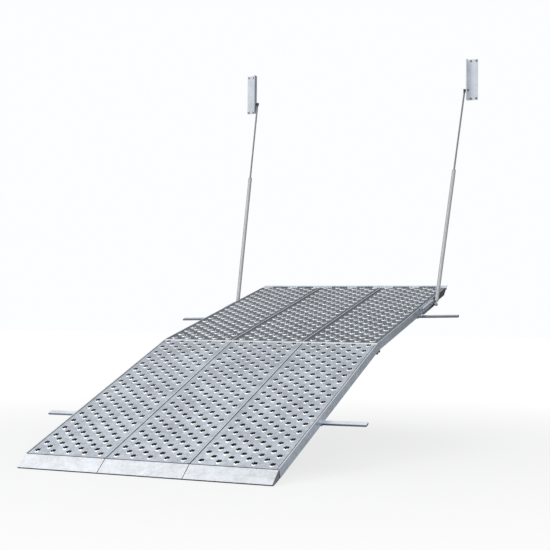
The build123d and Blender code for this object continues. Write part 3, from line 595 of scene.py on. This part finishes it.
def worn_metal(name, slope, dark, light, rough, streak=LENGTHWAYS, edges=True, top=None,
               blue=BLUE_LEAN, soiled=None, sides=None):
    """Mill-finish metal: blotches of three sizes, fine grain, long scuffs and bright rubbed edges.

    top is a lighter tone painted on the faces that face up, as painted light, if they differ. blue is
    how far the greys lean towards blue. soiled is where traffic dirt starts along the slope, where it is
    heaviest, and its share there. sides is a darker tone painted on the faces that don't face up, as
    painted shade.
    """
    n = Nodes(name)
    along = n.place(slope, streak)
    plain = n.place(slope)
    blotch = n.patches(plain, **BLOTCHES)
    mottle = n.patches(plain, scale=11.0, low=0.38, high=0.62, detail=5.0, rough=0.65)
    patch = n.patches(plain, scale=36.0, low=0.40, high=0.66, rough=0.65)
    grain = n.noise(along, scale=55.0, detail=3.0)
    scuff = n.patches(along, scale=14.0, low=0.55, high=0.72, detail=6.0, rough=0.7)
    speck = n.patches(plain, scale=160.0, low=0.58, high=0.72, detail=2.0)
    colour = n.mix(blotch, grey(dark, blue), grey(light, blue))
    for where, share, tone, lean in (
            (mottle, 0.55, dark * 0.72, blue),
            (patch, 0.45, min(light * 1.15, LIGHTEST), blue),
            (scuff, 0.55, min(light * 1.40, LIGHTEST), 0.0),
            (speck, 0.35, dark * 0.55, BLUE_LEAN)):
        colour = n.mix(n.times(where, share), colour, grey(tone, lean))
    if soiled:
        start, end, share = soiled
        up_slope = n.add("ShaderNodeSeparateXYZ", inputs={"Vector": plain}).outputs["Y"]
        soil = n.times(n.ramp(up_slope, start, end), n.plus(n.times(mottle, 0.6), 0.4))
        colour = n.mix(n.times(soil, share), colour, grey(dark * 0.50, blue))
    # Painted light: faces that face up take the lighter top tone
    if top:
        rubbed = n.mix(mottle, grey(top, blue), grey(top * 0.86, blue))
        colour = n.mix(n.facing_up(slope), colour, rubbed)
    # Painted shade: faces that don't face up take the darker sides tone
    if sides:
        colour = n.mix(n.facing_up(slope), grey(sides, blue), colour)
    if edges:
        colour = n.mix(n.rubbed_edges(plain), colour, grey(RUBBED, 0.0))
    roughness = n.plus(n.times(grain, 0.16), rough - 0.08)
    roughness = n.plus(roughness, n.times(blotch, -0.08))
    height = n.plus(grain, n.times(speck, 0.6))
    return n.finish(colour, roughness, height, bump=0.25, distance=0.0006)


def collar_metal(name, slope, dark, light, bright):
    """Deck metal of the raised collars: grimy at the foot, teeth bright from wear and painted highlight,
    throats in painted shade and painted light.
    """
    n = Nodes(name)
    plain = n.place(slope)
    wear = n.attribute("wear")
    blotch = n.patches(plain, **BLOTCHES)
    speck = n.noise(plain, scale=120.0, detail=3.0)
    colour = n.mix(blotch, grey(dark), grey(light))
    # Teeth lighter towards their tips: partly rubbed wear, partly painted highlight
    rubbed = n.times(n.ramp(wear, 0.05, 0.75), n.ramp(speck, 0.22, 0.52))
    colour = n.mix(rubbed, colour, grey(bright, 0.02))
    # Painted shade and painted light in the throats: dark for the shade under the deck, lighter where
    # lit ground is painted as showing through
    inside = n.mix(n.attribute("through"), UNDER_DECK_PAINTED_SHADE, PAINTED_GROUND_LIGHT)
    colour = n.mix(n.ramp(wear, 0.0, 0.9 * THROAT_SHADE_MARK), colour, inside)
    roughness = n.plus(n.times(speck, 0.2), 0.32)
    return n.finish(colour, roughness, speck, bump=0.2, distance=0.0005)


def painted(name, colour, rough, chip=0.15):
    """Satin paint with slight shade changes, fine orange peel and rubbed spots."""
    n = Nodes(name)
    plain = n.place()
    blotch = n.patches(plain, scale=8.0, low=0.35, high=0.65, detail=5.0)
    rub = n.patches(plain, scale=45.0, low=0.66, high=0.78, detail=5.0, rough=0.7)
    dull = tuple(c * 0.86 for c in colour)
    light = tuple(min(1.0, c + 0.25) for c in colour)
    shade = n.mix(blotch, (*colour, 1), (*dull, 1))
    shade = n.mix(n.times(rub, chip), shade, (*light, 1))
    shade = n.mix(n.times(n.rubbed_edges(plain, radius=0.0015), 0.6), shade, (*light, 1))
    roughness = n.plus(n.times(n.noise(plain, scale=60.0), 0.15), rough - 0.07)
    peel = n.noise(plain, scale=420.0, detail=2.0)
    return n.finish(shade, roughness, peel, bump=0.08, distance=0.0003, metallic=0.0)


def painted_shade_material(name, slope):
    """Painted shade in grooves, corners and joints: dark strips, uneven and dull."""
    n = Nodes(name)
    plain = n.place(slope)
    patch = n.patches(plain, scale=14.0, low=0.30, high=0.70, detail=6.0, rough=0.7)
    grit = n.noise(plain, scale=240.0, detail=3.0)
    colour = n.mix(patch, DEEPEST_PAINTED_SHADE, PALEST_PAINTED_SHADE)
    roughness = n.plus(n.times(grit, 0.2), 0.72)
    return n.finish(colour, roughness, grit, bump=0.5, distance=0.0008, metallic=0.0)


def satin_tube(name, tone, rough):
    """Smooth silver surface of a tube or rod: faint lengthwise shading, fine peel, a few small marks."""
    n = Nodes(name)
    along = n.place(stretch=(6, 6, 0.6))
    plain = n.place()
    shade = n.patches(along, scale=6.0, low=0.35, high=0.65, detail=3.0)
    mark = n.patches(plain, scale=70.0, low=0.70, high=0.78, detail=5.0, rough=0.7)
    colour = n.mix(shade, grey(tone, 0.0), grey(tone * 0.90, 0.0))
    colour = n.mix(n.times(mark, 0.5), colour, grey(tone * 0.55, 0.0))
    peel = n.noise(plain, scale=300.0, detail=2.0)
    roughness = n.plus(n.times(peel, 0.12), rough)
    return n.finish(colour, roughness, peel, bump=0.04, distance=0.0002, metallic=0.45)


# One alloy on both decks: the upper deck's far darker tones are painted shade standing for a dark
# reflection, and the lower deck's lighter tones are partly wear and partly painted light
deck = {
    "upper": worn_metal("deck_upper_painted_shade", UPPER_SLOPE, dark=0.095, light=0.215, rough=0.36,
                        edges=False, blue=0.15),
    "lower": worn_metal("deck_lower", LOWER_SLOPE, dark=0.48, light=0.76, rough=0.40,
                        edges=False, soiled=(-4.3, -2.2, 0.42)),
}
# The upper collars are a darker copy of the lower ones, painted shade as on the upper deck; their
# teeth's bright tone is partly wear and partly painted highlight
collar = {
    "upper": collar_metal("collar_upper", UPPER_SLOPE, dark=0.30, light=0.46, bright=0.89),
    "lower": collar_metal("collar_lower", LOWER_SLOPE, dark=0.50, light=0.70, bright=0.78),
}
# Rails: the lighter top tone on faces that face up is painted light
rail = {section: worn_metal(f"rail_{section}", slope, dark=0.60, light=0.76, rough=0.40,
                            top=0.86, blue=0.08)
        for section, slope in SLOPES.items()}
# These materials are painted shade: dark strips in the grooves, the rails' corners and the toe joint
dirt = {section: painted_shade_material(f"dirt_{section}", slope) for section, slope in SLOPES.items()}
# Cross bars: painted light on the faces that face up, painted shade in the darker tone of the other
# faces
bar = {
    "upper": worn_metal("bar_upper_light_and_shade", UPPER_SLOPE, dark=0.22, light=0.30, rough=0.42,
                        streak=CROSSWAYS, top=0.66),
    "lower": worn_metal("bar_lower_light_and_shade", LOWER_SLOPE, dark=0.26, light=0.36, rough=0.42,
                        streak=CROSSWAYS, top=0.90),
}
# Strut channel, also used for the welds: the lighter top tone on faces that face up is painted light
channel = worn_metal("channel_aluminium", UPPER_SLOPE, dark=0.64, light=0.78, rough=0.38,
                     top=0.88, blue=0.08)
sill = worn_metal("sill_aluminium", UPPER_SLOPE, dark=0.70, light=0.82, rough=0.40)
strip = worn_metal("strip_aluminium", LOWER_SLOPE, dark=0.88, light=0.92, rough=0.44,
                   streak=CROSSWAYS, blue=0.02)
# Groove beads, far lighter than the deck sheet they belong to: partly rubbed wear, partly painted
# highlight
bead = worn_metal("bead_wear_and_highlight", LOWER_SLOPE, dark=0.74, light=0.88, rough=0.34)
# Toe plates: the dark sides tone on faces that don't face up is painted shade
bare = worn_metal("bare_aluminium", LOWER_SLOPE, dark=0.65, light=0.69, rough=0.44,
                  streak=CROSSWAYS, blue=0.03, edges=False, sides=0.12)
# The toe's end plates, a darker copy of the toe aluminium: painted shade
toe_cap_shade = worn_metal("toe_cap_painted_shade", LOWER_SLOPE, dark=0.26, light=0.38, rough=0.42)
steel = worn_metal("dark_steel", 0.0, dark=0.10, light=0.17, rough=0.40)
# Near-black finish of the hinge cheeks, far darker than the rails beside them
near_black = painted("black_paint", (0.035, 0.036, 0.04), rough=0.42, chip=0.5)
bracket = painted("bracket_paint", (0.66, 0.70, 0.76), rough=0.36)
strut = satin_tube("strut_paint", tone=0.44, rough=0.40)
rod = satin_tube("rod_chrome", tone=0.22, rough=0.30)
socket = painted("socket_black", (0.05, 0.05, 0.055), rough=0.5, chip=0.3)
# Painted shade on the inner faces of the bracket flanges
flange_shade_tone = painted("flange_painted_shade", (0.34, 0.35, 0.38), rough=0.6, chip=0.2)
# Rubber of the rod wipers, also the painted shade on the sill rail between the hinge units
rubber_and_gap_shade = painted("rubber_wiper_and_gap_shade", (0.03, 0.03, 0.032), rough=0.65, chip=0.2)

# Material of each CAD node, by the start of its name; the first match holds
NODE_MATERIALS = (
    (("upper_deck",), deck["upper"]),
    (("lower_deck",), deck["lower"]),
    (("toe_plate",), bare),
    (("fold_cover_strip",), strip),
    (("upper_cross_bar", "upper_bar_straps"), bar["upper"]),
    (("lower_cross_bar", "lower_bar_straps"), bar["lower"]),
    (("portal_bracket",), bracket),
    (("hinge_cheek",), near_black),
    (("cylinder_tube", "foot_eye"), strut),
    (("piston_rod",), rod),
    (("rod_socket",), socket),
    (("strut_channel",), channel),
    (("sill_rail",), sill),
    (("bracket_bolts", "rod_stud", "foot_stud", "sill_hinge_pins", "fold_link", "fold_pins",
      "cylinder_gland", "piston"), steel),
    (("lower",), rail["lower"]),
    (("upper",), rail["upper"]),
)

for node, piece in frame["nodes"].items():
    slots = piece.data.materials
    slots.clear()
    slots.append(next(material for starts, material in NODE_MATERIALS if node.startswith(starts)))


# Pieces of detail

def groove_beads(section):
    """Extruded beads on the panels' edges beside each groove, from the sill to the fold or the toe."""
    start, end = BEAD_SPAN[section]
    shapes = []
    for groove in GROOVES:
        middle = groove - PANEL_GROOVE / 2 - BEAD_RADIUS
        shapes.append(lengthwise(half_round(middle, -SINK, BEAD_RADIUS, BEAD_HEIGHT), start, end))
    return shapes


def groove_shade_strips(section):
    """Dark strips of painted shade in the panel grooves, beside them, and in the corners along the side
    rails' lips.
    """
    start, end = BEAD_SPAN[section]
    band_width = SHADE_BAND[section]
    edge = PANEL_GROOVE / 2
    shapes = []
    for groove in GROOVES:
        bottom = half_round(groove, -SHEET_THICKNESS, edge - GROOVE_SHADE_GAP, GROOVE_SHADE_HEIGHT)
        shapes.append(lengthwise(bottom, start, end))
        beside_bead = groove - edge - 2 * BEAD_RADIUS - band_width / 2
        beside_groove = groove + edge + band_width / 2
        for middle in (beside_bead, beside_groove):
            band = half_round(middle, -SINK, band_width / 2, SHADE_BAND_HEIGHT)
            shapes.append(lengthwise(band, start, end))
    for side in (-1, 1):
        corner = side * (HALF_WIDTH - LIP_WIDTH)
        reach = side * CORNER_SHADE[side]
        outline = [(corner - share * reach, n) for share, n in CORNER_PROFILE]
        shapes.append(lengthwise(outline, start, end))
    return shapes


def toe_joint():
    """A dark strip of painted shade in the joint between the lower deck and the toe plates."""
    half = HALF_WIDTH - LIP_WIDTH
    outline = [(SECTION_LENGTH + s, n) for s, n in TOE_JOINT_SHADE_PROFILE]
    return crosswise(outline, -half, half)


def toe_end_caps():
    """Thin plates closing the outer ends of the hollow toe, a little inside its outline."""
    bevel = math.radians(TOE_SLOPE - LOWER_SLOPE)
    lower = math.radians(LOWER_SLOPE)
    tip_s = SECTION_LENGTH + TOE_LENGTH * math.cos(bevel)
    tip_n = -TOE_LENGTH * math.sin(bevel)
    nose_n = tip_n - TOE_NOSE
    land_s = tip_s - TOE_LAND * math.cos(lower)
    land_n = nose_n - TOE_LAND * math.sin(lower)
    inset = TOE_CAP_INSET
    outline = [(SECTION_LENGTH + 2 * inset, -2 * inset), (tip_s - 2 * inset, tip_n - inset),
               (tip_s - 2 * inset, nose_n + inset), (land_s, land_n + 2 * inset),
               (SECTION_LENGTH + TOE_HEEL, 2 * inset - RAIL_DEPTH),
               (SECTION_LENGTH + 2 * inset, 2 * inset - RAIL_DEPTH)]
    return [crosswise(outline, *sorted(side * (TOE_END_X - depth) for depth in TOE_CAP_DEPTHS))
            for side in (-1, 1)]


def strip_rivets():
    """Flat rivets along the cover strip at the fold."""
    s = sum(FOLD_STRIP) / 2
    reach = HALF_WIDTH - STRIP_MARGIN
    head = rivet(*STRIP_RIVET)
    return [moved(head, Matrix.Translation((x, -s, FOLD_STRIP_TOP)))
            for x in np.linspace(-reach, reach, STRIP_RIVETS)]


def sill_gap_shade_strips():
    """Dark strips of painted shade on the sill rail's face, one between each two hinge units of a panel.
    """
    deck_edge = UPPER.translation.z
    outline = strip_outline(SILL_FACE_Y, -1, deck_edge - GAP_SHADE_BELOW, deck_edge + GAP_SHADE_ABOVE,
                            GAP_SHADE_PROFILE)
    gap = (PANEL_WIDTH - UNITS_PER_PANEL * HINGE_UNIT) / (UNITS_PER_PANEL - 1)
    shapes = []
    for panel in PANELS.values():
        for side in (-1, 1):
            middle = panel * PANEL_WIDTH + side * (HINGE_UNIT + gap) / 2
            shapes.append(rings_to_shape([
                np.array([(middle + end * gap / 2, y, z) for y, z in outline]) for end in (-1, 1)]))
    return shapes


def side_rivets(side):
    """Rivets through the strut channel and the cheek plate on one side rail."""
    outward = Matrix.Rotation(math.radians(side * 90), 4, "Y")
    shapes = []
    first, last = CHANNEL[0] + CHANNEL_MARGINS[0], CHANNEL[1] - CHANNEL_MARGINS[1]
    for s in np.linspace(first, last, CHANNEL_RIVETS):
        place = Matrix.Translation((side * CHANNEL_FACE_X, -s, CHANNEL_RIVET_N))
        shapes.append(moved(rivet(*CHANNEL_RIVET), place @ outward))
    for s in (CHEEK[0] + CHEEK_MARGINS[0], sum(CHEEK) / 2, CHEEK[1] - CHEEK_MARGINS[1]):
        for n in CHEEK_RIVET_ROWS:
            place = Matrix.Translation((side * CHEEK_FACE_X, -s, n))
            shapes.append(moved(rivet(*CHEEK_RIVET), place @ outward))
    return shapes


def member_welds():
    """Weld beads where each cross member meets a rail's web, under the deck."""
    inner = PANEL_WIDTH / 2 - DIVIDER_WEB / 2
    outer = PANEL_WIDTH / 2 + DIVIDER_WEB / 2
    edge = HALF_WIDTH - WEB_THICKNESS
    top = MEMBER_TOP - WELD_STOP
    shapes = []
    for row in MEMBER_ROWS:
        middle = -(FIRST_ROW + (row - 0.5) * ROW_PITCH)
        near = middle - MEMBER_WIDTH / 2
        far = middle + MEMBER_WIDTH / 2
        for x in (-edge, -outer, -inner, inner, outer, edge):
            shapes.append(weld_bead((x, near, MEMBER_BOTTOM), (x, far, MEMBER_BOTTOM), FOOT_WELD))
            for y in (near, far):
                shapes.append(weld_bead((x, y, MEMBER_BOTTOM), (x, y, top), SIDE_WELD))
    return shapes


def bracket_flange_shade(side):
    """Dark strips of painted shade on the inner face of one bracket's flange, above and below the stud.
    """
    front, back = BRACKET_FLANGE_Y
    outline = strip_outline(side * BRACKET_INNER_X, -side, back - FLANGE_SHADE_SIDE_MARGIN,
                            front + FLANGE_SHADE_SIDE_MARGIN, FLANGE_SHADE_PROFILE)
    spans = ((BRACKET_Z[0] + FLANGE_SHADE_END_MARGIN, STUD_Z - FLANGE_SHADE_STUD_GAP),
             (STUD_Z + FLANGE_SHADE_STUD_GAP, BRACKET_Z[1] - FLANGE_SHADE_END_MARGIN))
    return [rings_to_shape([np.array([(x, y, z) for x, y in outline]) for z in span])
            for span in spans]


def strut_matrix(side):
    """Strut coordinates to the row frame: z along the strut from the foot's centre."""
    foot = Vector(joints[f"strut_swing_{side}"]["pos_m"])
    along = Vector(joints[f"rod_slide_{side}"]["axis"])
    return Matrix.Translation(foot) @ along.to_track_quat("Z", "Y").to_matrix().to_4x4()


def tube_rings():
    """Rolled rings near both ends of the pressure tube."""
    ring = lathe([(TUBE_RADIUS + rise, height) for rise, height in RING_PROFILE])
    return [moved(ring, Matrix.Translation((0, 0, height))) for height in RING_PLACES]


def rod_wiper():
    """Rubber wiper round the rod above the gland."""
    bore = ROD_RADIUS + WIPER_CLEARANCE
    top = WIPER_PROFILE[-1][1]
    wiper = lathe([*WIPER_PROFILE, (bore, top), (bore, 0.0)], loop=True)
    return moved(wiper, Matrix.Translation((0, 0, GLAND_END)))


for section, matrix in SECTIONS.items():
    body = f"{section}_section"
    for side in PANELS:
        collars(section, side, collar[section])
    # Beads lighter than the sheet: partly wear, partly painted highlight
    detail(f"{section}_groove_beads", groove_beads(section), matrix, body, bead, "rail_aluminium")
    # Dark strips of painted shade in and beside the grooves
    detail(f"{section}_groove_shade_strips", groove_shade_strips(section), matrix, body, dirt[section], "black_paint")
    detail(f"{section}_welds", member_welds(), matrix, body, channel, "rail_aluminium")

# Painted shade in the joint above the toe plates
detail("toe_joint_painted_shade", [toe_joint()], LOWER, "lower_section", dirt["lower"], "black_paint")
# End plates of the toe in painted shade
detail("toe_end_caps", toe_end_caps(), LOWER, "lower_section", toe_cap_shade, "bare_aluminium")
# Painted shade between the hinge units on the sill rail's face
detail("sill_gap_shade_strips", sill_gap_shade_strips(), Matrix(), "vehicle_mounts", rubber_and_gap_shade, "socket_plastic")
detail("strip_rivets", strip_rivets(), LOWER, "lower_section", strip, "bare_aluminium")
for side, sign in (("left", -1), ("right", 1)):
    detail(f"side_rivets_{side}", side_rivets(sign), UPPER, "upper_section", steel, "dark_steel")
    # Painted shade on the bracket's flange
    detail(f"bracket_flange_shade_{side}", bracket_flange_shade(sign), Matrix(), "vehicle_mounts", flange_shade_tone, "socket_plastic")
    along = strut_matrix(side)
    cylinder_body = f"strut_cylinder_{side}"
    detail(f"tube_rings_{side}", tube_rings(), along, cylinder_body, strut, "strut_paint")
    detail(f"rod_wiper_{side}", [rod_wiper()], along, cylinder_body, rubber_and_gap_shade, "socket_plastic")


# Stage, light and camera

low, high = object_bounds()
centre = (low + high) / 2

# Floor: half width, gap under the toe, roughness, its two tones, and how it brightens for the
# camera from a near to a far distance
FLOOR_HALF = 60.0
FLOOR_GAP = 0.0005
FLOOR_ROUGH = 0.85
FLOOR_TONES = (0.52, 0.56)
FLOOR_GLOW = {"From Min": 1.5, "From Max": 6.0, "To Min": 0.76, "To Max": 1.0}

# Surround: the direction it brightens towards, its strength along that direction, the even
# strength the camera sees, and its colour
SKY_LEAN = (-0.10, -0.35, 0.93)
SKY_RANGE = {"From Min": -0.05, "From Max": 0.55, "To Min": 0.16, "To Max": 1.00}
SKY_SEEN = 1.0
SKY_COLOUR = (0.97, 0.985, 1.0, 1)

# Soft boxes: their width, and the place and watts of each
LIGHT_SIZE = 5.0
LIGHTS = {"key": ((-5.0, -9.0, 7.5), 380), "fill": ((7.0, -8.0, 3.0), 100)}

# The photograph's camera: place, turns in degrees, lens and sensor in millimetres, and how far
# it sees in metres
CAMERA_PLACE = Vector((3.9068, -11.2592, -0.2718))
CAMERA_TURN = 22.93
CAMERA_TILT = 2.056
CAMERA_ROLL = -0.594
CAMERA_LENS = 76.8
CAMERA_SENSOR = 36.0
CAMERA_REACH = 200.0


def floor():
    """A wide pale floor under the toe, lit up to white away from the ramp like a lit sweep."""
    ground = low.z - FLOOR_GAP
    corners = [(x * FLOOR_HALF, y * FLOOR_HALF, ground) for x, y in ((-1, -1), (1, -1), (1, 1), (-1, 1))]
    piece = mesh_object("floor", (np.array(corners), [(0, 1, 2, 3)]), smooth=False)
    n = Nodes("floor")
    patch = n.patches(n.place(), scale=0.8, low=0.3, high=0.7)
    tone = n.mix(patch, *(grey(value, 0.0) for value in FLOOR_TONES))
    material = n.finish(tone, FLOOR_ROUGH, metallic=0.0)
    away = n.add("ShaderNodeVectorMath", operation="DISTANCE")
    n.feed(away.inputs[0], n.place())
    n.feed(away.inputs[1], (centre.x, centre.y, ground))
    reach = n.add("ShaderNodeMapRange", clamp=True, inputs={
        "Value": away.outputs["Value"], **FLOOR_GLOW})
    seen = n.add("ShaderNodeLightPath").outputs["Is Camera Ray"]
    glow = n.add("ShaderNodeEmission", inputs={"Color": (1, 1, 1, 1), "Strength": 1.0})
    blend = n.add("ShaderNodeMixShader")
    n.feed(blend.inputs[0], n.times(seen, reach.outputs["Result"]))
    n.feed(blend.inputs[1], n.shader.outputs["BSDF"])
    n.feed(blend.inputs[2], glow.outputs["Emission"])
    n.feed(n.tree.nodes["Material Output"].inputs["Surface"], blend.outputs["Shader"])
    piece.data.materials.append(material)


def world():
    """Studio surround: bright overhead and behind the camera, dim low down on the far side."""
    surround = bpy.data.worlds.new("studio")
    bpy.context.scene.world = surround
    surround.use_nodes = True
    tree = surround.node_tree
    background = tree.nodes["Background"]
    direction = tree.nodes.new("ShaderNodeTexCoord").outputs["Generated"]
    lean = tree.nodes.new("ShaderNodeVectorMath")
    lean.operation = "DOT_PRODUCT"
    tree.links.new(direction, lean.inputs[0])
    lean.inputs[1].default_value = SKY_LEAN
    ramp = tree.nodes.new("ShaderNodeMapRange")
    ramp.interpolation_type = "SMOOTHSTEP"
    tree.links.new(lean.outputs["Value"], ramp.inputs["Value"])
    for key, value in SKY_RANGE.items():
        ramp.inputs[key].default_value = value
    seen = tree.nodes.new("ShaderNodeLightPath").outputs["Is Camera Ray"]
    choose = tree.nodes.new("ShaderNodeMix")
    tree.links.new(seen, choose.inputs["Factor"])
    tree.links.new(ramp.outputs["Result"], choose.inputs["A"])
    choose.inputs["B"].default_value = SKY_SEEN
    background.inputs["Color"].default_value = SKY_COLOUR
    tree.links.new(choose.outputs["Result"], background.inputs["Strength"])


def area_light(name, place, power):
    """A square soft box aimed at the middle of the ramp."""
    data = bpy.data.lights.new(name, "AREA")
    data.shape = "SQUARE"
    data.size = LIGHT_SIZE
    data.energy = power
    lamp = bpy.data.objects.new(name, data)
    bpy.context.scene.collection.objects.link(lamp)
    lamp.location = place
    aim = centre - Vector(place)
    lamp.rotation_euler = aim.to_track_quat("-Z", "Y").to_euler()


def camera():
    """The photograph's camera."""
    data = bpy.data.cameras.new("camera")
    data.sensor_width = CAMERA_SENSOR
    data.lens = CAMERA_LENS
    data.clip_end = CAMERA_REACH
    eye = bpy.data.objects.new("camera", data)
    bpy.context.scene.collection.objects.link(eye)
    turn = (Matrix.Rotation(math.radians(CAMERA_TURN), 4, "Z")
            @ Matrix.Rotation(math.radians(CAMERA_TILT), 4, "X")
            @ Matrix.Rotation(math.radians(CAMERA_ROLL), 4, "Y")
            @ Matrix.Rotation(math.radians(90), 4, "X"))
    eye.matrix_world = Matrix.Translation(CAMERA_PLACE) @ turn
    bpy.context.scene.camera = eye


floor()
world()
for name, (place, power) in LIGHTS.items():
    area_light(name, place, power)
camera()
bpy.context.scene.view_settings.view_transform = "Standard"
